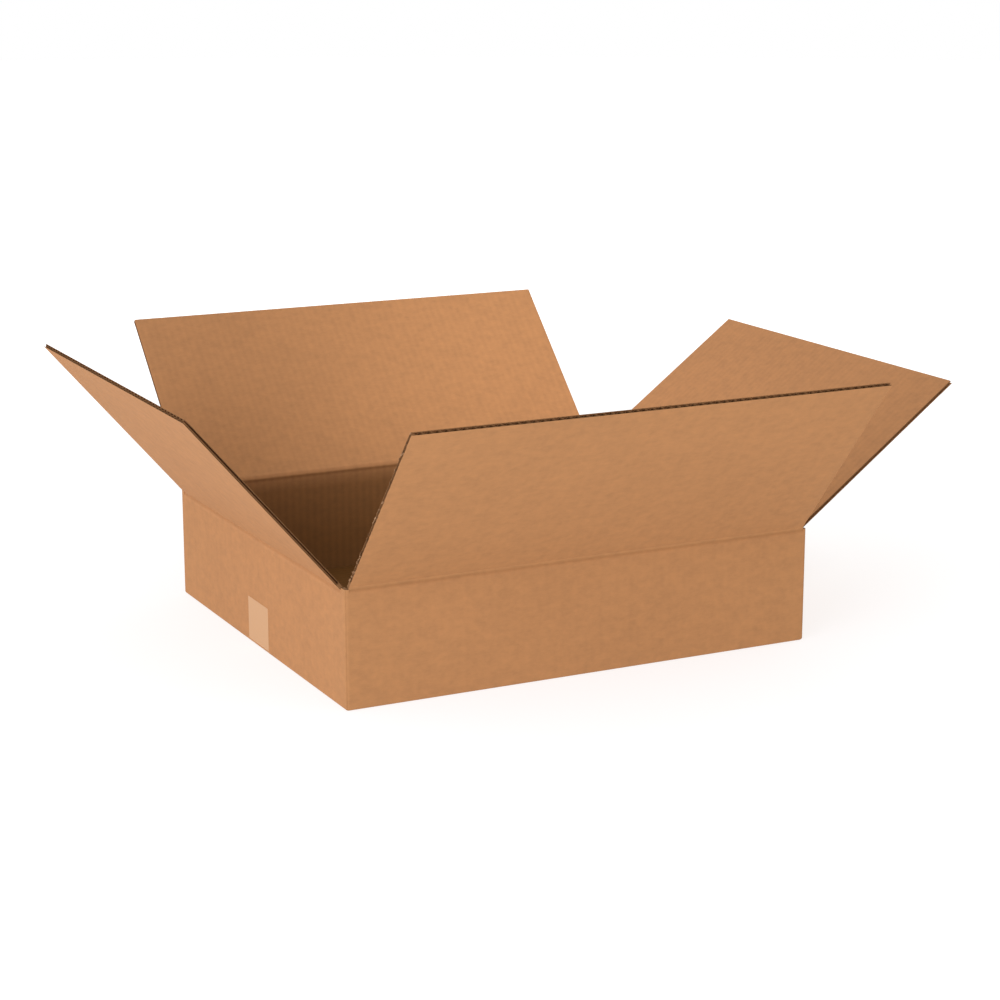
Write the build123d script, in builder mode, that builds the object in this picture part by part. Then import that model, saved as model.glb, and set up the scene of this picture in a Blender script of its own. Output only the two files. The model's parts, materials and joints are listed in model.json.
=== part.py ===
"""Shallow slotted carton of single wall corrugated board, standing with its four top flaps folded open.

Millimetres. X runs along the carton's length, Y from the front panel to the back panel, Z up.
The origin is at the centre of the underside, on the surface that the carton stands on.
"""
import os
from math import atan2, cos, degrees, radians, sin, tan

from build123d import *

# Inside of the carton, and the board it is folded from
inside_length = 457.2
inside_width = 406.4
board = 4.0

# Corrugation, open along the flaps' free edges
flute_pitch = 7.8
flute_crest = 1.4
flute_sheet = 0.45
liner = 0.45
flute_mouth_depth = 12.0

# Folds and slots
end_fold_height = 106.0
fold_gap = 0.3
layer_gap = 0.2
corner_radius = 3.0
base_radius = 2.5
end_flap_clearance = 5.0
meeting_gap = 2.0

# Degrees that each top flap leans out from upright, and that any flap can fold down past level
front_lean = 39.7
back_lean = 45.2
left_lean = 40.7
right_lean = 53.3
flap_droop = 25.0

# Glued tab that closes the blank into a ring
tab_width = 35.0
tab_taper = 15.0

# Tape under the bottom seam, turned up both end panels
tape_width = 50.0
tape_thickness = 0.1
tape_turn_up = 44.0

# Sizes that follow from these
half_board = board / 2
length = inside_length + 2 * board
width = inside_width + 2 * board
underside = tape_thickness
end_underside = underside + board + layer_gap
long_fold_height = end_fold_height + board + fold_gap
end_panel_top = end_fold_height - half_board - fold_gap
long_panel_top = long_fold_height - half_board - fold_gap
end_flap_breadth = inside_width - 2 * end_flap_clearance
long_flap_reach = (width - meeting_gap) / 2 - half_board
end_flap_reach = long_flap_reach + long_fold_height - end_fold_height


def score_wedge(outer_face, panel_top):
    """Corners of what a score crushes off a panel's outer top edge, so that its flap can fold past level."""
    across = half_board + (half_board + fold_gap) * tan(radians(flap_droop / 2))
    down = across * tan(radians(flap_droop))
    return [(outer_face, panel_top), (outer_face - across, panel_top), (outer_face, panel_top - down)]


# Body: the four panels and the bottom flaps, folded from one sheet
with BuildPart() as carton_body:
    with BuildSketch(Plane.XY.offset(underside)):
        RectangleRounded(length, width, corner_radius)
        Rectangle(inside_length, inside_width, mode=Mode.SUBTRACT)
    extrude(amount=long_panel_top - underside)

    # the end panels are scored a board's thickness below the long panels, between the corners
    for side in (1, -1):
        with Locations((side * (length - board) / 2, 0, end_panel_top)):
            Box(board, end_flap_breadth + 2 * fold_gap, long_panel_top - end_panel_top,
                align=(Align.CENTER, Align.CENTER, Align.MIN), mode=Mode.SUBTRACT)

    # bottom flaps: the end pair lies inside on the long pair, which meets at the seam
    for side in (1, -1):
        with Locations((side * length / 2, 0, end_underside)):
            Box(half_board + end_flap_reach, end_flap_breadth, board,
                align=(Align.MAX if side > 0 else Align.MIN, Align.CENTER, Align.MIN))
        with Locations((0, side * width / 2, underside)):
            Box(inside_length, half_board + long_flap_reach, board,
                align=(Align.CENTER, Align.MAX if side > 0 else Align.MIN, Align.MIN))

    # rounded fold along the bottom
    bottom_face = carton_body.faces().sort_by(Axis.Z)[0]
    fillet(bottom_face.outer_wire().edges(), base_radius)

    # glued tab, inside the back panel at the right corner
    with BuildSketch(Plane.XZ.offset(-inside_width / 2)):
        tab_slope = tab_width * tan(radians(tab_taper))
        tab_end = inside_length / 2 - tab_width
        with BuildLine():
            Polyline(
                (inside_length / 2, end_underside),
                (inside_length / 2, end_panel_top),
                (tab_end, end_panel_top - tab_slope),
                (tab_end, end_underside + tab_slope),
                close=True,
            )
        make_face()
    extrude(amount=board)

    # crushed scores under the top flaps
    with BuildSketch(Plane.YZ):
        with BuildLine():
            Polyline(*score_wedge(width / 2, long_panel_top), close=True)
        make_face()
        mirror(about=Plane.YZ)
    extrude(amount=length / 2, both=True, mode=Mode.SUBTRACT)
    with BuildSketch(Plane.XZ):
        with BuildLine():
            Polyline(*score_wedge(length / 2, end_panel_top), close=True)
        make_face()
        mirror(about=Plane.YZ)
    extrude(amount=end_flap_breadth / 2 + fold_gap, both=True, mode=Mode.SUBTRACT)


def make_flap(fold_centre, outward, lean, breadth, reach):
    """One top flap: round where it folds, and open to its flutes along the free edge."""
    upright = Vector(0, 0, 1)
    fold_axis = upright.cross(outward)
    along = outward * sin(radians(lean)) + upright * cos(radians(lean))
    side_plane = Plane(fold_centre, x_dir=along, z_dir=fold_axis)
    edge_plane = Plane(fold_centre + along * reach, x_dir=fold_axis, z_dir=along)

    # a flute mouth is wide against one liner and narrow against the other
    mouth_height = board - 2 * liner
    mouth_foot = flute_pitch - flute_crest
    mouth_top = flute_crest - 2 * flute_sheet
    mouth_slant = degrees(atan2(mouth_height, (mouth_foot - mouth_top) / 2))
    mouth_count = int(breadth / flute_pitch)

    with BuildPart() as flap:
        with BuildSketch(side_plane):
            Circle(half_board)
            with Locations((reach / 2, 0)):
                Rectangle(reach, board)
        extrude(amount=breadth / 2, both=True)
        with BuildSketch(edge_plane):
            with GridLocations(flute_pitch, flute_pitch, mouth_count, 1):
                Trapezoid(mouth_foot, mouth_height, mouth_slant)
            with GridLocations(flute_pitch, flute_pitch, mouth_count - 1, 1):
                Trapezoid(mouth_foot, mouth_height, mouth_slant, rotation=180)
        extrude(amount=-flute_mouth_depth, mode=Mode.SUBTRACT)
    return flap.part


# Tape: one strip under the seam, bent up on to both end panels
with BuildPart() as seam_tape:
    with BuildSketch(Plane.XZ):
        with BuildLine():
            FilletPolyline(
                (-length / 2, tape_turn_up),
                (-length / 2, underside),
                (length / 2, underside),
                (length / 2, tape_turn_up),
                radius=base_radius,
            )
            offset(amount=tape_thickness, side=Side.RIGHT)
        make_face()
    extrude(amount=tape_width / 2, both=True)

# Top flaps: the long pair folds over the end pair
to_right = Vector(1, 0, 0)
to_back = Vector(0, 1, 0)
long_fold_out = width / 2 - half_board
end_fold_out = length / 2 - half_board
top_flaps = {
    "front_flap": (-to_back, long_fold_out, long_fold_height, front_lean, inside_length, long_flap_reach),
    "back_flap": (to_back, long_fold_out, long_fold_height, back_lean, inside_length, long_flap_reach),
    "left_flap": (-to_right, end_fold_out, end_fold_height, left_lean, end_flap_breadth, end_flap_reach),
    "right_flap": (to_right, end_fold_out, end_fold_height, right_lean, end_flap_breadth, end_flap_reach),
}

os.makedirs("parts", exist_ok=True)
carton_body.part.label = "carton_body"
export_step(carton_body.part, "parts/carton_body.step")
seam_tape.part.label = "seam_tape"
export_step(seam_tape.part, "parts/seam_tape.step")
for name, (outward, fold_out, fold_height, lean, breadth, reach) in top_flaps.items():
    fold_centre = outward * fold_out + Vector(0, 0, fold_height)
    flap = make_flap(fold_centre, outward, lean, breadth, reach)
    flap.label = name
    export_step(flap, f"parts/{name}.step")
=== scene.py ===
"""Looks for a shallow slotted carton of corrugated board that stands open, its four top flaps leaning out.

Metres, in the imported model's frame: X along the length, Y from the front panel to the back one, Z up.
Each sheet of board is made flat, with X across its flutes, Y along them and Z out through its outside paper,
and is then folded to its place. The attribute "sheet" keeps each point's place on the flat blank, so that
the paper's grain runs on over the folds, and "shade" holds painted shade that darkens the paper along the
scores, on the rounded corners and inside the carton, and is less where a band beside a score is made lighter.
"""

import json
import random
from collections import namedtuple
from math import cos, exp, pi, radians, sin, tau

import bmesh
import bpy
from mathutils import Matrix, Vector, noise
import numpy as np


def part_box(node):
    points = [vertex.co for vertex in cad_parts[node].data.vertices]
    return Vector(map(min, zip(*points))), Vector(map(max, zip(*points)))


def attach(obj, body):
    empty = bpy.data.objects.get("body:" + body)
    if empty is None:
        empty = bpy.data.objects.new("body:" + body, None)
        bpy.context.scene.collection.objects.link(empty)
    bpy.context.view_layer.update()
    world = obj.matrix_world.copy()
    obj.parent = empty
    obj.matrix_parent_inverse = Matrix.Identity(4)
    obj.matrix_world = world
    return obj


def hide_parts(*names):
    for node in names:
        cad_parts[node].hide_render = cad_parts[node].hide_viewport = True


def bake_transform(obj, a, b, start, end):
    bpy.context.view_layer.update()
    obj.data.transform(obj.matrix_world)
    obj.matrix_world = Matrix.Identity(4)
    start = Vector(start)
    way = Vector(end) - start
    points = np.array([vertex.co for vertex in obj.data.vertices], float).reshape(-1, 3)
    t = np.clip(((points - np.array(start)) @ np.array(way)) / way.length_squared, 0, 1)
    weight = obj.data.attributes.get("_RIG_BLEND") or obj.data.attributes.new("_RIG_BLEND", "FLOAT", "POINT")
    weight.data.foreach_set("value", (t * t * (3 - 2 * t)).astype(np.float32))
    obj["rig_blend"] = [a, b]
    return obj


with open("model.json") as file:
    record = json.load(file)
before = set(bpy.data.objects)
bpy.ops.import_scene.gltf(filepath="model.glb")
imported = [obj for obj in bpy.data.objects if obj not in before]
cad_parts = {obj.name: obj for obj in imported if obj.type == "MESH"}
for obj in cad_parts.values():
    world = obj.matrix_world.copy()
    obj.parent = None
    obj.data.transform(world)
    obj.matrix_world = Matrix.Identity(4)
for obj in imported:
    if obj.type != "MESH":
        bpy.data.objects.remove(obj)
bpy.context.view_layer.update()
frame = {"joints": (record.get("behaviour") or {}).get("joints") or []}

mm = 0.001
tiny = 0.01 * mm
up = Vector((0, 0, 1))

# Paper and flutes of the board
liner = 0.35 * mm
medium = 0.25 * mm
flute_pitch = 7.8 * mm
steps_per_flute = 10
layer_gap = 0.2 * mm

# Cut edges
cut_steps = 3
cut_unevenness = 0.12 * mm
torn_unevenness = 0.55 * mm
tear_spacing = 1.6 * mm
edge_crush = 0.12
long_side_crush = 0.26
crush_reach = 1 * mm

# Torn fibres, small flakes of paper: widths, lengths and overhangs in mm, depths as shares of half a board
torn_fibre_count = 34
flake_seed = 5
flake_widths = (0.7, 1.8)
flake_lengths = (1.5, 5.5)
flake_overhangs = (-0.5, 0.2)
flake_depths = (0.2, 0.55)
flake_turn = 0.5
flake_tilt = 1.2
flake_gathering = 1.6
flake_thickness = 0.12 * mm

# Folds: a strip to each side of a score bends, and rounded corners join the panels
fold_half = 7 * mm
bend_half = 3.5 * mm
fold_rows = 28
corner_radius = 3 * mm
inner_corner_radius = 0.3 * mm
base_radius = 2.5 * mm
round_steps = 6
slot_clearance = 0.3 * mm

# Scores: how far a line lies below its fold, how deep it is pressed, its painted shade, and a lighter band beside
# it
score_half = 1.6 * mm
score_wander = 0.25 * mm
wander_length = 9 * mm
long_score_drop = 3.2 * mm
end_score_drop = 1.2 * mm
inside_score_drop = 2.2 * mm
score_depth_outside = 0.3
score_depth_inside = 0.2
score_shade = 0.14
end_score_shade = 0.03
band_offset = 3.4 * mm
band_half = 1.6 * mm
band_lift = 0.04
band_fade = 2 * mm
# painted shade on the rounded corners
corner_shade = 0.20

# Painted shade on the paper inside the carton, from the rim under a score down to the bottom
inside_shade_rim = 0.30
rim_reach = 10 * mm
inside_shade_top = 0.48
inside_shade_deep = 0.63
deep_shade_depth = 0.65
bottom_shade = 0.78

# Glued tab inside the back panel
tab_width = 35 * mm
tab_taper = 0.27

# Tape
tape_step = 2.5 * mm
tape_columns = 34
tape_tooth = 0.5 * mm
tape_tan = (0.537, 0.280, 0.118)
tape_streak = (0.596, 0.327, 0.145)
streak_scale = (700, 45, 1)
bubble_scale = 160
bubble_height = 0.15 * mm
bubble_strength = 0.5
tape_roughness = 0.30
streak_roughness = 0.2
tape_gloss = 0.35

# Kraft paper: the scales of its noises on the blank, their strengths as shares of its brightness, and its relief
cloud_scale = (7, 9, 40)
mottle_scale = (110, 150, 300)
fibre_scale = (120, 1500, 600)
fleck_scale = (800, 1300, 900)
cloud_tone = 0.12
mottle_tone = 0.46
fibre_tone = 0.16
# painted light and shade of the flute ribs, and how much more of it shows under painted shade
rib_painted_shading = 0.035
rib_gain_in_shade = 3.0
fleck_tone = 0.14
fleck_start, fleck_full = 0.70, 0.80
# how fast red, green and blue fall with the painted shade
shade_tint = (-0.95, -1.0, -1.18)
kraft_roughness = 0.78
fibre_roughness = 0.16
fibre_height = 0.035 * mm
cloud_height = 1.2 * mm
rib_height = 0.05 * mm
kraft_gloss = 0.2

# Which way a face looks, by the Z of its normal, and the angle from which an edge stays sharp
steep, sloped, level = 0.1, 0.5, 0.9
sharp_angle = radians(38)
OUTSIDE, INSIDE, CUT, TORN = range(4)

# Sizes and places of the four sides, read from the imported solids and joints
body_low, body_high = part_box("carton_body")
tape_low, tape_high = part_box("seam_tape")
carton_length = body_high.x - body_low.x
carton_width = body_high.y - body_low.y
folds = {joint["child"]: joint for joint in frame["joints"]}
half_board = body_high.y - abs(folds["back_flap"]["pos_m"][1])
board = 2 * half_board
underside = body_low.z
corner_top = body_high.z

Side = namedtuple("Side", "name pivot outward across seat lean breadth reach sheet_across is_long crush")


def read_side(name, order):
    """One side of the carton and its top flap. The flap lies closed and flat at its joint's low limit."""
    pivot = Vector(folds[name]["pos_m"])
    outward = Vector((pivot.x, pivot.y, 0)).normalized()
    across = up.cross(outward)
    seat = Matrix.Translation(pivot) @ Matrix((across, up, outward)).transposed().to_4x4()
    lean = radians(-folds[name]["range_deg"][0] - 90)
    low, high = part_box(name)
    breadth = abs((high - low).dot(across))
    reach = (high.z - pivot.z - half_board * sin(lean)) / cos(lean)
    sheet_across = order * (carton_length + carton_width) / 2
    is_long = abs(outward.y) > abs(outward.x)
    crush = long_side_crush if is_long else edge_crush
    return Side(name, pivot, outward, across, seat, lean, breadth, reach, sheet_across, is_long, crush)


blank_order = ("back_flap", "left_flap", "front_flap", "right_flap")
sides = [read_side(name, order) for order, name in enumerate(blank_order)]
back, left, front, right = sides


def new_node(tree, kind, **settings):
    """A shader node with its settings, and its unlinked inputs where a setting names one."""
    node = tree.nodes.new(kind)
    for name, value in settings.items():
        if name in node.inputs:
            node.inputs[name].default_value = value
        else:
            setattr(node, name, value)
    return node


def new_math(tree, operation, first, second, third=None):
    """A Math node. Each of its inputs is a number or another node's output."""
    node = tree.nodes.new("ShaderNodeMath")
    node.operation = operation
    for socket, value in zip(node.inputs, (first, second, third)):
        if isinstance(value, bpy.types.NodeSocket):
            tree.links.new(value, socket)
        elif value is not None:
            socket.default_value = value
    return node.outputs["Value"]


def make_kraft_group():
    """Kraft paper: cloudy, mottled, with fibres drawn out across the flutes, flecks, and the flute ribs' relief and
    painted shading.
    """
    group = bpy.data.node_groups.new("kraft paper", "ShaderNodeTree")
    for name, kind in (("Sheet", "Vector"), ("Shade", "Float"), ("Paper", "Color"), ("Fibre", "Color"),
                       ("Washboard", "Float")):
        group.interface.new_socket(name, in_out="INPUT", socket_type="NodeSocket" + kind)
    for name, kind in (("Color", "Color"), ("Roughness", "Float"), ("Height", "Float")):
        group.interface.new_socket(name, in_out="OUTPUT", socket_type="NodeSocket" + kind)
    start = group.nodes.new("NodeGroupInput")
    end = group.nodes.new("NodeGroupOutput")

    def paper_noise(stretch, detail, roughness=0.55):
        mapping = new_node(group, "ShaderNodeMapping", Scale=stretch)
        group.links.new(start.outputs["Sheet"], mapping.inputs["Vector"])
        cloud = new_node(group, "ShaderNodeTexNoise", Scale=1.0, Detail=detail, Roughness=roughness)
        group.links.new(mapping.outputs["Vector"], cloud.inputs["Vector"])
        return cloud.outputs["Fac"]

    clouds = paper_noise(cloud_scale, detail=3)
    mottle = paper_noise(mottle_scale, detail=4)
    fibres = paper_noise(fibre_scale, detail=3, roughness=0.7)
    flecks = paper_noise(fleck_scale, detail=1)

    # ribs where the paper bridges the flutes: their relief, and their light and shade painted into the tone
    place = new_node(group, "ShaderNodeSeparateXYZ")
    group.links.new(start.outputs["Sheet"], place.inputs["Vector"])
    turn = new_math(group, "MULTIPLY", place.outputs["X"], tau / flute_pitch)
    ribs = new_math(group, "SINE", turn, None)
    ribs = new_math(group, "MULTIPLY", ribs, start.outputs["Washboard"])

    # tone: the noises vary it about 1, the ribs' painted light and shade shows more under painted shade, and flecks
    # darken it
    tone = new_math(group, "MULTIPLY_ADD", clouds, cloud_tone, 1 - cloud_tone / 2)
    tone = new_math(group, "MULTIPLY_ADD", mottle, mottle_tone, tone)
    tone = new_math(group, "MULTIPLY_ADD", fibres, fibre_tone, tone)
    rib_gain = new_math(group, "MULTIPLY_ADD", start.outputs["Shade"], rib_gain_in_shade, 1.0)
    painted_ribs = new_math(group, "MULTIPLY", rib_gain, ribs)
    tone = new_math(group, "MULTIPLY_ADD", painted_ribs, rib_painted_shading, tone)
    tone = new_math(group, "SUBTRACT", tone, (mottle_tone + fibre_tone) / 2)
    dark_fleck = new_node(group, "ShaderNodeMapRange", interpolation_type="SMOOTHSTEP")
    group.links.new(flecks, dark_fleck.inputs["Value"])
    limits = (("From Min", fleck_start), ("From Max", fleck_full), ("To Min", 0.0), ("To Max", fleck_tone))
    for socket, value in limits:
        dark_fleck.inputs[socket].default_value = value
    tone = new_math(group, "SUBTRACT", tone, dark_fleck.outputs["Result"])

    # colour: the paper tinted by its fibres, times the tone, and darkened by the painted shade
    tint = new_node(group, "ShaderNodeMix", data_type="RGBA")
    group.links.new(mottle, tint.inputs["Factor"])
    group.links.new(start.outputs["Paper"], tint.inputs["A"])
    group.links.new(start.outputs["Fibre"], tint.inputs["B"])
    shade = new_node(group, "ShaderNodeVectorMath", operation="SCALE")
    group.links.new(tint.outputs["Result"], shade.inputs["Vector"])
    group.links.new(tone, shade.inputs["Scale"])
    shade_factor = new_node(group, "ShaderNodeVectorMath", operation="MULTIPLY_ADD")
    group.links.new(start.outputs["Shade"], shade_factor.inputs[0])
    shade_factor.inputs[1].default_value = shade_tint
    shade_factor.inputs[2].default_value = (1, 1, 1)
    shaded = new_node(group, "ShaderNodeVectorMath", operation="MULTIPLY")
    group.links.new(shade.outputs["Vector"], shaded.inputs[0])
    group.links.new(shade_factor.outputs["Vector"], shaded.inputs[1])
    group.links.new(shaded.outputs["Vector"], end.inputs["Color"])

    # gloss and relief
    roughness = new_math(group, "MULTIPLY_ADD", fibres, fibre_roughness, kraft_roughness)
    group.links.new(roughness, end.inputs["Roughness"])
    height = new_math(group, "MULTIPLY", fibres, fibre_height)
    height = new_math(group, "MULTIPLY_ADD", clouds, cloud_height, height)
    height = new_math(group, "MULTIPLY_ADD", ribs, rib_height, height)
    group.links.new(height, end.inputs["Height"])
    return group


kraft_group = make_kraft_group()


def make_kraft(name, paper, fibre, washboard):
    """A matte kraft finish that follows the flat blank."""
    material = bpy.data.materials.new(name)
    material.use_nodes = True
    tree = material.node_tree
    shader = tree.nodes["Principled BSDF"]
    sheet = new_node(tree, "ShaderNodeAttribute", attribute_name="sheet")
    shade = new_node(tree, "ShaderNodeAttribute", attribute_name="shade")
    kraft = new_node(tree, "ShaderNodeGroup", node_tree=kraft_group)
    kraft.inputs["Paper"].default_value = (*paper, 1)
    kraft.inputs["Fibre"].default_value = (*fibre, 1)
    kraft.inputs["Washboard"].default_value = washboard
    bump = new_node(tree, "ShaderNodeBump", Distance=1.0, Strength=1.0)
    tree.links.new(sheet.outputs["Vector"], kraft.inputs["Sheet"])
    tree.links.new(shade.outputs["Fac"], kraft.inputs["Shade"])
    tree.links.new(kraft.outputs["Color"], shader.inputs["Base Color"])
    tree.links.new(kraft.outputs["Roughness"], shader.inputs["Roughness"])
    tree.links.new(kraft.outputs["Height"], bump.inputs["Height"])
    tree.links.new(bump.outputs["Normal"], shader.inputs["Normal"])
    shader.inputs["Specular IOR Level"].default_value = kraft_gloss
    return material


# In the order of the face numbers OUTSIDE, INSIDE, CUT and TORN
board_finishes = [
    make_kraft("outside_kraft", (0.492, 0.237, 0.099), (0.436, 0.202, 0.078), 0.15),
    make_kraft("inside_kraft", (0.480, 0.228, 0.095), (0.426, 0.195, 0.075), 0.5),
    make_kraft("cut_fluting", (0.270, 0.130, 0.050), (0.180, 0.088, 0.034), 0.0),
    make_kraft("torn_fibre", (0.42, 0.24, 0.125), (0.28, 0.15, 0.072), 0.0),
]


def new_board():
    """An empty mesh whose points keep their place on the blank and their shade."""
    bm = bmesh.new()
    bm.verts.layers.float_vector.new("sheet")
    bm.verts.layers.float.new("shade")
    return bm


def fold_to_place(bm, place, sheet_across=0.0, sheet_along=0.0):
    """Keeps the points' place on the flat blank, then moves them to where the board stands."""
    sheet = bm.verts.layers.float_vector["sheet"]
    for vert in bm.verts:
        vert[sheet] = vert.co + Vector((sheet_across, sheet_along, 0))
    bmesh.ops.transform(bm, matrix=place, verts=bm.verts)


def join_to(bm, part):
    """Adds a finished part to a mesh."""
    carrier = bpy.data.meshes.new("carrier")
    part.to_mesh(carrier)
    part.free()
    bm.from_mesh(carrier)
    bpy.data.meshes.remove(carrier)


def add_grid(bm, breadth, start, end, height, columns, rows):
    """A flat grid across the breadth and from start to end along the flutes. Returns its faces."""
    known = set(bm.faces)
    place = Matrix.Translation((0, (start + end) / 2, height)) @ Matrix.Diagonal((breadth, end - start, 1, 1))
    bmesh.ops.create_grid(bm, x_segments=columns, y_segments=rows, size=0.5, matrix=place)
    return [face for face in bm.faces if face not in known]


def thicken(bm, faces, depth):
    """Makes open flat faces a closed slab, by that depth along Z. Returns all of its faces."""
    known = set(bm.faces) - set(faces)
    grown = bmesh.ops.extrude_face_region(bm, geom=faces)["geom"]
    moved = [part for part in grown if isinstance(part, bmesh.types.BMVert)]
    bmesh.ops.translate(bm, vec=(0, 0, depth), verts=moved)
    slab = [face for face in bm.faces if face not in known]
    bmesh.ops.recalc_face_normals(bm, faces=slab)
    bm.normal_update()
    return slab


def add_paper(bm, breadth, start, end, side, finish, torn_side):
    """The paper face on one side of the board, with cut edges that aren't quite even."""
    columns = max(2, round(breadth / flute_pitch))
    rows = max(2, round((end - start) / flute_pitch))
    known = set(bm.faces)
    add_grid(bm, breadth, start, end, side * half_board, columns, rows)
    rim = [edge for edge in bm.edges if edge.is_boundary]
    bmesh.ops.subdivide_edges(bm, edges=rim, cuts=cut_steps)
    for vert in [vert for vert in bm.verts if vert.is_boundary and vert.co.y > start + tiny]:
        spot = vert.co / tear_spacing
        at_side = abs(abs(vert.co.x) - breadth / 2) < tiny
        torn = at_side and vert.co.x * torn_side > 0
        amount = torn_unevenness if torn else cut_unevenness
        if at_side:
            vert.co.x += amount * noise.noise(spot)
        if abs(vert.co.y - end) < tiny:
            vert.co.y += cut_unevenness * noise.noise(spot + up)
    sheet = [face for face in bm.faces if face not in known]
    for face in thicken(bm, sheet, -side * liner):
        face.material_index = finish if abs(face.normal.z) > sloped else CUT


def add_fluting(bm, breadth, start, end):
    """The wavy sheet between the two papers."""
    swing = half_board - liner - medium
    waves = add_grid(bm, breadth, start, end, 0, round(breadth / flute_pitch * steps_per_flute), 1)
    for vert in {vert for face in waves for vert in face.verts}:
        vert.co.z = swing * sin(tau * vert.co.x / flute_pitch)
    known = set(bm.faces) - set(waves)
    bmesh.ops.solidify(bm, geom=waves, thickness=medium)
    shell = [face for face in bm.faces if face not in known]
    bmesh.ops.recalc_face_normals(bm, faces=shell)
    for face in shell:
        face.material_index = CUT


def add_board(bm, breadth, start, end, side_crush=edge_crush, torn_side=0):
    """A flat sheet of corrugated board, open to its flutes at both ends, its cut edges crushed thinner."""
    add_paper(bm, breadth, start, end, 1, OUTSIDE, torn_side)
    add_paper(bm, breadth, start, end, -1, INSIDE, torn_side)
    add_fluting(bm, breadth, start, end)
    for vert in bm.verts:
        if abs(vert.co.x) > breadth / 2 - crush_reach:
            vert.co.z *= 1 - side_crush
        elif vert.co.y > end - crush_reach:
            vert.co.z *= 1 - edge_crush


def add_torn_fibres(bm, side_x, start, end):
    """Small flakes of paper that a blunt slotting knife leaves along a cut side."""
    chance = random.Random(flake_seed)
    for _ in range(torn_fibre_count):
        size = Matrix.Diagonal((chance.uniform(*flake_widths) * mm, chance.uniform(*flake_lengths) * mm, 1, 1))
        turn = Matrix.Rotation(chance.uniform(-flake_turn, flake_turn), 4, "Z")
        tilt = Matrix.Rotation(chance.uniform(-flake_tilt, flake_tilt), 4, "Y")
        height = -chance.uniform(*flake_depths) * half_board
        along = start + (end - start) * chance.random() ** flake_gathering
        spot = Vector((side_x + chance.uniform(*flake_overhangs) * mm, along, height))
        place = Matrix.Translation(spot) @ (turn @ tilt) @ size
        known = set(bm.faces)
        bmesh.ops.create_grid(bm, x_segments=1, y_segments=2, size=0.5, matrix=place)
        bmesh.ops.solidify(bm, geom=[face for face in bm.faces if face not in known], thickness=flake_thickness)
        flake = [face for face in bm.faces if face not in known]
        bmesh.ops.recalc_face_normals(bm, faces=flake)
        for face in flake:
            face.material_index = TORN


def make_piece(bm, name, finishes):
    """The finished mesh as an object at the origin, smooth over its folds and sharp at its cuts."""
    for edge in bm.edges:
        edge.smooth = edge.calc_face_angle(0) < sharp_angle
    for face in bm.faces:
        face.smooth = True
    mesh = bpy.data.meshes.new(name)
    bm.to_mesh(mesh)
    bm.free()
    for finish in finishes:
        mesh.materials.append(finish)
    piece = bpy.data.objects.new(name, mesh)
    bpy.context.scene.collection.objects.link(piece)
    piece.modifiers.new("even shading", "WEIGHTED_NORMAL").keep_sharp = True
    return piece


def make_top_flap(side):
    """A top flap from the end of its scored strip to its free edge."""
    bm = new_board()
    torn_side = -1 if side is front else 0
    add_board(bm, side.breadth, fold_half, side.reach, side.crush, torn_side)
    if torn_side:
        add_torn_fibres(bm, torn_side * side.breadth / 2, fold_half, side.reach)
    lean = Matrix.Rotation(side.lean, 4, "X")
    fold_to_place(bm, side.seat @ lean, side.sheet_across, side.pivot.z)
    piece = make_piece(bm, side.name + "_board", board_finishes)
    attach(piece, side.name)
    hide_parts(side.name)


def make_top_fold(side):
    """The scored strip between a panel and its top flap. It bends with the flap."""
    bm = new_board()
    columns = round(side.breadth / flute_pitch)
    flat = add_grid(bm, side.breadth, -fold_half, fold_half, half_board, columns, fold_rows)
    for face in thicken(bm, flat, -board):
        across_board = abs(face.normal.z) < sloped
        face.material_index = CUT if across_board else OUTSIDE if face.normal.z > 0 else INSIDE

    shade = bm.verts.layers.float["shade"]
    for vert in bm.verts:
        # below the fold the strip fills its slot's side, and above it is crushed as the flap's side is
        if abs(vert.co.x) > side.breadth / 2 - tiny:
            if vert.co.y < tiny:
                vert.co.x += slot_clearance if vert.co.x > 0 else -slot_clearance
            vert.co.z *= 1 - side.crush * min(1, max(0, vert.co.y / bend_half))

        # the score presses both papers in, and painted shade darkens a line along it
        outside = vert.co.z > 0
        along = vert.co.y + score_wander * noise.noise(vert.co / wander_length)
        drop = inside_score_drop if not outside else long_score_drop if side.is_long else end_score_drop
        depth = score_depth_outside if outside else score_depth_inside
        press = along + drop if outside and side.is_long else along
        vert.co.z *= 1 - depth * exp(-(press / score_half) ** 2)
        along += drop
        strength = end_score_shade if outside and not side.is_long else score_shade
        painted_shade = strength * exp(-(along / score_half) ** 2)

        # a band below it is made lighter, and inside the carton painted shade darkens the paper
        band = band_lift * min(1, (vert.co.y + fold_half) / band_fade)
        painted_shade -= band * exp(-((along + band_offset) / band_half) ** 2)
        if not outside:
            painted_shade += inside_shade_rim * min(1, max(0, 1 - along / score_half))
        vert[shade] = painted_shade

    # its place on the flat blank, then an even bend over the middle of the strip
    sheet = bm.verts.layers.float_vector["sheet"]
    for vert in bm.verts:
        vert[sheet] = vert.co + Vector((side.sheet_across, side.pivot.z, 0))
        share = min(1, max(0, (vert.co.y + bend_half) / (2 * bend_half)))
        turn = side.lean * share * share * (3 - 2 * share)
        vert.co.rotate(Matrix.Rotation(turn, 3, "X"))
    bmesh.ops.transform(bm, matrix=side.seat, verts=bm.verts)
    piece = make_piece(bm, side.name + "_fold", board_finishes)
    start = side.seat @ Vector((0, -bend_half, 0))
    end = side.seat @ Matrix.Rotation(side.lean, 4, "X") @ Vector((0, bend_half, 0))
    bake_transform(piece, "carton", side.name, start=start, end=end)


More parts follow.
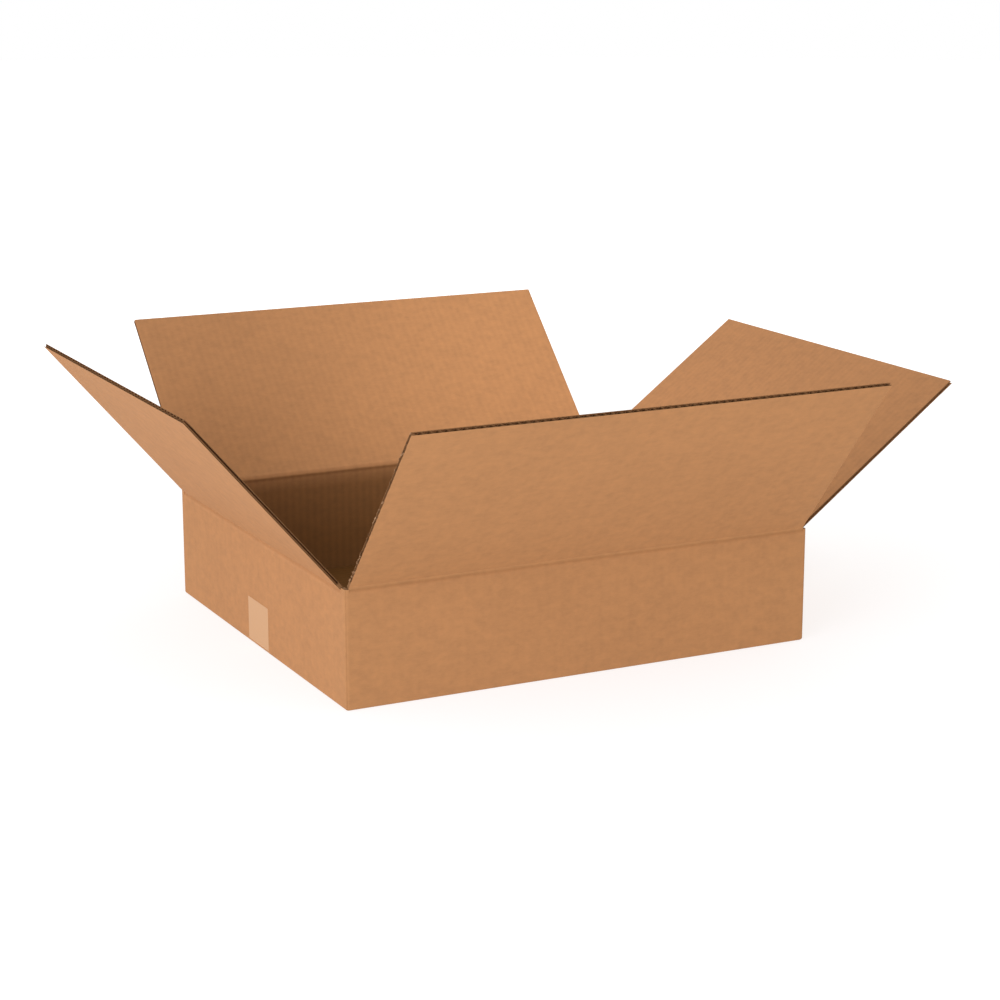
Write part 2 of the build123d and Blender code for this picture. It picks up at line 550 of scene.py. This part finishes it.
def add_outline(bm, size_x, size_y, radius):
    """A rounded rectangle in plan. Returns its edges."""
    known = set(bm.edges)
    place = Matrix.Translation((0, 0, underside)) @ Matrix.Diagonal((size_x, size_y, 1, 1))
    corners = bmesh.ops.create_grid(bm, x_segments=1, y_segments=1, size=0.5, matrix=place)["verts"]
    bmesh.ops.bevel(bm, geom=corners, offset=radius, offset_type="OFFSET", segments=round_steps, profile=0.5,
                    affect="VERTICES", material=-1)
    outline = [edge for edge in bm.edges if edge not in known]
    inner_faces = list({face for edge in outline for face in edge.link_faces})
    bmesh.ops.delete(bm, geom=inner_faces, context="FACES_ONLY")
    return outline


def raise_tops(bm, top, height, chosen):
    """Moves the wall tops that lie at one height, where chosen says so, up to another."""
    tops = [face for face in bm.faces
            if face.normal.z > level and abs(face.calc_center_median().z - top) < tiny
            and chosen(face.calc_center_median())]
    grown = bmesh.ops.extrude_face_region(bm, geom=tops)["geom"]
    moved = [part for part in grown if isinstance(part, bmesh.types.BMVert)]
    bmesh.ops.translate(bm, vec=(0, 0, height - top), verts=moved)
    bmesh.ops.delete(bm, geom=tops, context="FACES")
    bm.normal_update()


def wall_shade(side, height):
    """The painted shade on the paper inside one side at a height: least at the rim under its score."""
    depth = 1 - (height - underside) / (corner_top - underside)
    from_rim = side.pivot.z - fold_half - height
    shade = inside_shade_top + (inside_shade_deep - inside_shade_top) * min(1, depth / deep_shade_depth)
    return shade - (inside_shade_top - inside_shade_rim) * max(0, 1 - from_rim / rim_reach)


def add_walls(bm):
    """The four panels, folded round their corners, up to the scored strips and the slots between the flaps."""
    slot_x = front.breadth / 2 + slot_clearance
    slot_y = left.breadth / 2 + slot_clearance
    end_top = left.pivot.z - fold_half
    long_top = front.pivot.z - fold_half
    outer = add_outline(bm, carton_length, carton_width, corner_radius)
    inner = add_outline(bm, carton_length - 2 * board, carton_width - 2 * board, inner_corner_radius)
    bmesh.ops.bridge_loops(bm, edges=outer + inner)
    for normal, place in ((Vector((1, 0, 0)), slot_x), (Vector((0, 1, 0)), slot_y)):
        for sign in (1, -1):
            bmesh.ops.bisect_plane(bm, geom=bm.verts[:] + bm.edges[:] + bm.faces[:], dist=tiny,
                                   plane_co=normal * sign * place, plane_no=normal)
    thicken(bm, bm.faces[:], end_top - underside)
    raise_tops(bm, end_top, long_top, lambda c: abs(c.x) < slot_x or abs(c.y) > slot_y)
    raise_tops(bm, long_top, corner_top, lambda c: abs(c.x) > slot_x and abs(c.y) > slot_y)

    # rounded fold along the bottom
    def on_base(edge):
        low = all(vert.co.z < underside + tiny for vert in edge.verts)
        return low and any(abs(face.normal.z) < steep and face.normal.dot(face.calc_center_median()) > 0
                           for face in edge.link_faces)
    bmesh.ops.bevel(bm, geom=[edge for edge in bm.edges if on_base(edge)], offset=base_radius,
                    offset_type="OFFSET", segments=round_steps, profile=0.5, affect="EDGES", material=-1)

    # cuts where the inside's shade changes
    for height in (long_top - rim_reach, end_top - rim_reach, corner_top - deep_shade_depth * (corner_top - underside)):
        bmesh.ops.bisect_plane(bm, geom=bm.verts[:] + bm.edges[:] + bm.faces[:], dist=tiny,
                               plane_co=up * height, plane_no=up)
    bm.normal_update()

    # papers and cut edges, and the places on the blank
    for face in bm.faces:
        middle = face.calc_center_median()
        faces_out = face.normal.x * middle.x + face.normal.y * middle.y > -tiny
        face.material_index = CUT if face.normal.z > sloped else OUTSIDE if faces_out else INSIDE
        joint_edge = middle.x > slot_x and middle.y > carton_width / 2 - corner_radius
        if joint_edge and face.normal.x > abs(face.normal.y) and face.material_index == OUTSIDE:
            face.material_index = CUT
    sheet = bm.verts.layers.float_vector["sheet"]
    shade = bm.verts.layers.float["shade"]
    for vert in bm.verts:
        side = max(sides, key=lambda one: one.outward.dot(vert.co - one.pivot))
        outside = side.outward.dot(vert.co - side.pivot)
        vert[sheet] = (side.sheet_across + side.across.dot(vert.co), vert.co.z, outside)
        from_corner = Vector((carton_length / 2 - abs(vert.co.x), carton_width / 2 - abs(vert.co.y)))
        # painted shade on the rounded corners, most at the middle of each arc
        if from_corner.x < corner_radius + tiny and from_corner.y < corner_radius + tiny:
            arc = min(from_corner) / max(max(from_corner), tiny)
            vert[shade] = corner_shade * arc
        # inside the carton, painted shade that grows with depth
        if outside < -half_board + tiny:
            vert[shade] = wall_shade(side, vert.co.z)


def add_bottom_flap(bm, side):
    """A bottom flap, closed inwards. The long pair lies under the end pair."""
    layer = 0 if side.is_long else board + layer_gap
    inward = Matrix((-side.across, -side.outward, -up)).transposed().to_4x4()
    root = Vector((side.pivot.x, side.pivot.y, underside + layer + half_board))
    flap = new_board()
    add_board(flap, side.breadth, half_board, side.reach)
    shade = flap.verts.layers.float["shade"]
    # painted shade on the paper inside the bottom
    for vert in flap.verts:
        if vert.co.z < -half_board / 2:
            vert[shade] = bottom_shade
    fold_to_place(flap, Matrix.Translation(root) @ inward, side.sheet_across, -side.reach)
    join_to(bm, flap)


def add_glued_tab(bm):
    """The tapered tab of the right panel, glued inside the back panel."""
    low = underside + 2 * board + 2 * layer_gap
    high = left.pivot.z - half_board
    middle = (low + high) / 2
    tab = new_board()
    add_board(tab, tab_width, low, high)
    shade = tab.verts.layers.float["shade"]
    for vert in tab.verts:
        inset = tab_taper * (vert.co.x + tab_width / 2)
        vert.co.y = middle + (vert.co.y - middle) * (1 - 2 * inset / (high - low))
        # the same painted shade as on the inside of the back panel
        vert[shade] = wall_shade(back, vert.co.y)
    across = carton_length / 2 - board - tab_width / 2
    place = Matrix((back.across, up, back.outward)).transposed().to_4x4()
    root = Vector((across, carton_width / 2 - board - half_board, 0))
    fold_to_place(tab, Matrix.Translation(root) @ place, right.sheet_across + carton_width / 2)
    join_to(bm, tab)


def make_carton_shell():
    """The standing part of the carton: panels, bottom flaps and glued tab of one sheet."""
    bm = new_board()
    add_walls(bm)
    for side in sides:
        add_bottom_flap(bm, side)
    add_glued_tab(bm)
    piece = make_piece(bm, "carton_shell", board_finishes)
    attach(piece, "carton")
    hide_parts("carton_body")


def make_tape_film():
    """Light tan film tape, a little streaked along its run."""
    material = bpy.data.materials.new("tape_film")
    material.use_nodes = True
    tree = material.node_tree
    shader = tree.nodes["Principled BSDF"]
    sheet = new_node(tree, "ShaderNodeAttribute", attribute_name="sheet")
    mapping = new_node(tree, "ShaderNodeMapping", Scale=streak_scale)
    streaks = new_node(tree, "ShaderNodeTexNoise", Scale=1.0, Detail=3.0, Roughness=0.6)
    ramp = new_node(tree, "ShaderNodeMix", data_type="RGBA")
    ramp.inputs["A"].default_value = (*tape_tan, 1)
    ramp.inputs["B"].default_value = (*tape_streak, 1)
    roughness = new_math(tree, "MULTIPLY_ADD", streaks.outputs["Fac"], streak_roughness, tape_roughness)
    bubbles = new_node(tree, "ShaderNodeTexNoise", Scale=bubble_scale, Detail=2.0)
    bump = new_node(tree, "ShaderNodeBump", Distance=bubble_height, Strength=bubble_strength)
    tree.links.new(sheet.outputs["Vector"], mapping.inputs["Vector"])
    tree.links.new(mapping.outputs["Vector"], streaks.inputs["Vector"])
    tree.links.new(sheet.outputs["Vector"], bubbles.inputs["Vector"])
    tree.links.new(streaks.outputs["Fac"], ramp.inputs["Factor"])
    tree.links.new(ramp.outputs["Result"], shader.inputs["Base Color"])
    tree.links.new(roughness, shader.inputs["Roughness"])
    tree.links.new(bubbles.outputs["Fac"], bump.inputs["Height"])
    tree.links.new(bump.outputs["Normal"], shader.inputs["Normal"])
    shader.inputs["Specular IOR Level"].default_value = tape_gloss
    return material


def make_seam_tape():
    """The tape: a flat strip under the seam, whose ends bend up on to the end panels."""
    bm = new_board()
    thickness = underside - tape_low.z
    width = tape_high.y - tape_low.y
    flat_end = carton_length / 2 - base_radius
    turned_up = tape_high.z - underside - base_radius
    half_run = flat_end + base_radius * pi / 2 + turned_up
    film = add_grid(bm, width, -half_run, half_run, tape_low.z, tape_columns, 2 * round(half_run / tape_step))
    for vert in bm.verts:
        column = round((vert.co.x / width + 0.5) * tape_columns)
        if abs(vert.co.y) > half_run - tiny and column % 2:
            vert.co.y -= tape_tooth if vert.co.y > 0 else -tape_tooth
    thicken(bm, film, thickness)
    fold_to_place(bm, Matrix.Rotation(-pi / 2, 4, "Z"))
    for vert in bm.verts:
        end = 1 if vert.co.x > 0 else -1
        beyond = abs(vert.co.x) - flat_end
        if beyond > 0:
            turn = min(beyond / base_radius, pi / 2)
            vert.co.x -= end * turn * base_radius
            bend = Vector((end * flat_end, 0, underside + base_radius))
            vert.co = bend + Matrix.Rotation(-end * turn, 3, "Y") @ (vert.co - bend)
    piece = make_piece(bm, "seam_tape_film", [make_tape_film()])
    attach(piece, "carton")
    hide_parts("seam_tape")


make_carton_shell()
for side in sides:
    make_top_fold(side)
    make_top_flap(side)
make_seam_tape()

# Floor: a white sweep that glows from near the carton to far from it, and that takes the carton's shadow
floor_radius = 9.0
floor_segments = 96
floor_glow = 0.66
floor_white = 0.40
floor_lift = 0.06
glow_near, glow_far = 0.5, 2.0

# Light from the room, from one soft lamp at the left, and from a spot on the back flap
room_light = 0.80
lamp_colour = (0.97, 1.0, 1.18)
lamp_aim = Vector((0, 0, 0.1))
spot_power = 40
spot_cone = radians(26)
spot_softness = 0.15
spot_place = Vector((0.20, -0.90, 1.10))
spot_aim_across, spot_aim_along = -0.4, 0.35


def make_floor():
    """A round white floor. It glows to full white away from the carton."""
    bm = bmesh.new()
    bmesh.ops.create_circle(bm, cap_ends=True, radius=floor_radius, segments=floor_segments)
    mesh = bpy.data.meshes.new("floor")
    bm.to_mesh(mesh)
    bm.free()
    floor = bpy.data.objects.new("floor", mesh)
    bpy.context.scene.collection.objects.link(floor)
    material = bpy.data.materials.new("white_sweep")
    material.use_nodes = True
    tree = material.node_tree
    shader = tree.nodes["Principled BSDF"]
    shader.inputs["Base Color"].default_value = (floor_white, floor_white, floor_white, 1)
    shader.inputs["Roughness"].default_value = 1.0
    shader.inputs["Specular IOR Level"].default_value = 0.0
    shader.inputs["Emission Color"].default_value = (1, 1, 1, 1)
    place = new_node(tree, "ShaderNodeTexCoord")
    distance = new_node(tree, "ShaderNodeVectorMath", operation="LENGTH")
    glow = new_node(tree, "ShaderNodeMapRange", interpolation_type="SMOOTHSTEP")
    limits = (("From Min", glow_near), ("From Max", glow_far), ("To Min", floor_glow), ("To Max", 1.0))
    for socket, value in limits:
        glow.inputs[socket].default_value = value
    tree.links.new(place.outputs["Object"], distance.inputs[0])
    tree.links.new(distance.outputs["Value"], glow.inputs["Value"])
    path = new_node(tree, "ShaderNodeLightPath")
    seen_glow = new_math(tree, "MULTIPLY_ADD", path.outputs["Is Camera Ray"], floor_lift, glow.outputs["Result"])
    tree.links.new(seen_glow, shader.inputs["Emission Strength"])
    mesh.materials.append(material)


def make_world():
    """Dim even light from the room, and plain white where the camera or a glossy face looks past the floor."""
    world = bpy.data.worlds.new("studio")
    world.use_nodes = True
    tree = world.node_tree
    room = tree.nodes["Background"]
    room.inputs["Color"].default_value = (1, 1, 1, 1)
    room.inputs["Strength"].default_value = room_light
    backdrop = new_node(tree, "ShaderNodeBackground", Color=(1, 1, 1, 1), Strength=1.0)
    path = new_node(tree, "ShaderNodeLightPath")
    seen = new_math(tree, "MAXIMUM", path.outputs["Is Camera Ray"], path.outputs["Is Glossy Ray"])
    seen = new_math(tree, "MAXIMUM", seen, path.outputs["Is Transmission Ray"])
    mix = new_node(tree, "ShaderNodeMixShader")
    tree.links.new(seen, mix.inputs["Fac"])
    tree.links.new(room.outputs["Background"], mix.inputs[1])
    tree.links.new(backdrop.outputs["Background"], mix.inputs[2])
    tree.links.new(mix.outputs["Shader"], tree.nodes["World Output"].inputs["Surface"])
    bpy.context.scene.world = world


def add_softbox(name, azimuth, elevation, distance, size, power):
    """A square soft lamp that looks at the carton. Azimuth 0 is in front, and positive to the left."""
    lamp = bpy.data.lights.new(name, "AREA")
    lamp.shape = "SQUARE"
    lamp.size = size
    lamp.energy = power
    lamp.color = lamp_colour
    softbox = bpy.data.objects.new(name, lamp)
    a, e = radians(azimuth), radians(elevation)
    away = Vector((-sin(a) * cos(e), -cos(a) * cos(e), sin(e)))
    softbox.location = lamp_aim + away * distance
    softbox.rotation_euler = (-away).to_track_quat("-Z", "Y").to_euler()
    bpy.context.scene.collection.objects.link(softbox)


def add_back_spot():
    """A soft spot from the front and above, on the right half of the back flap's inside."""
    lamp = bpy.data.lights.new("back_spot", "SPOT")
    lamp.energy = spot_power
    lamp.spot_size = spot_cone
    lamp.spot_blend = 1
    lamp.shadow_soft_size = spot_softness
    spot = bpy.data.objects.new("back_spot", lamp)
    on_flap = Vector((spot_aim_across * back.breadth, spot_aim_along * back.reach, 0))
    aim = back.seat @ Matrix.Rotation(back.lean, 4, "X") @ on_flap
    spot.location = spot_place
    spot.rotation_euler = (aim - spot.location).to_track_quat("-Z", "Y").to_euler()
    bpy.context.scene.collection.objects.link(spot)


make_floor()
make_world()
add_softbox("key_softbox", azimuth=61, elevation=18, distance=2.6, size=1.8, power=28)
add_back_spot()

# Camera, fitted to the edges of the carton in the photograph
photo_side_px = 1000
focal_px = 2408
sensor_width_mm = 36
camera_yaw = radians(26.64)
camera_pitch = radians(13.80)
camera_place = (-0.9926, -2.0145, 0.6671)
camera_data = bpy.data.cameras.new("camera")
camera_data.sensor_width = sensor_width_mm
camera_data.lens = sensor_width_mm * focal_px / photo_side_px
camera = bpy.data.objects.new("camera", camera_data)
camera.location = camera_place
camera.rotation_euler = (pi / 2 - camera_pitch, 0, -camera_yaw)
bpy.context.scene.collection.objects.link(camera)
bpy.context.scene.camera = camera
bpy.context.scene.view_settings.view_transform = "Standard"
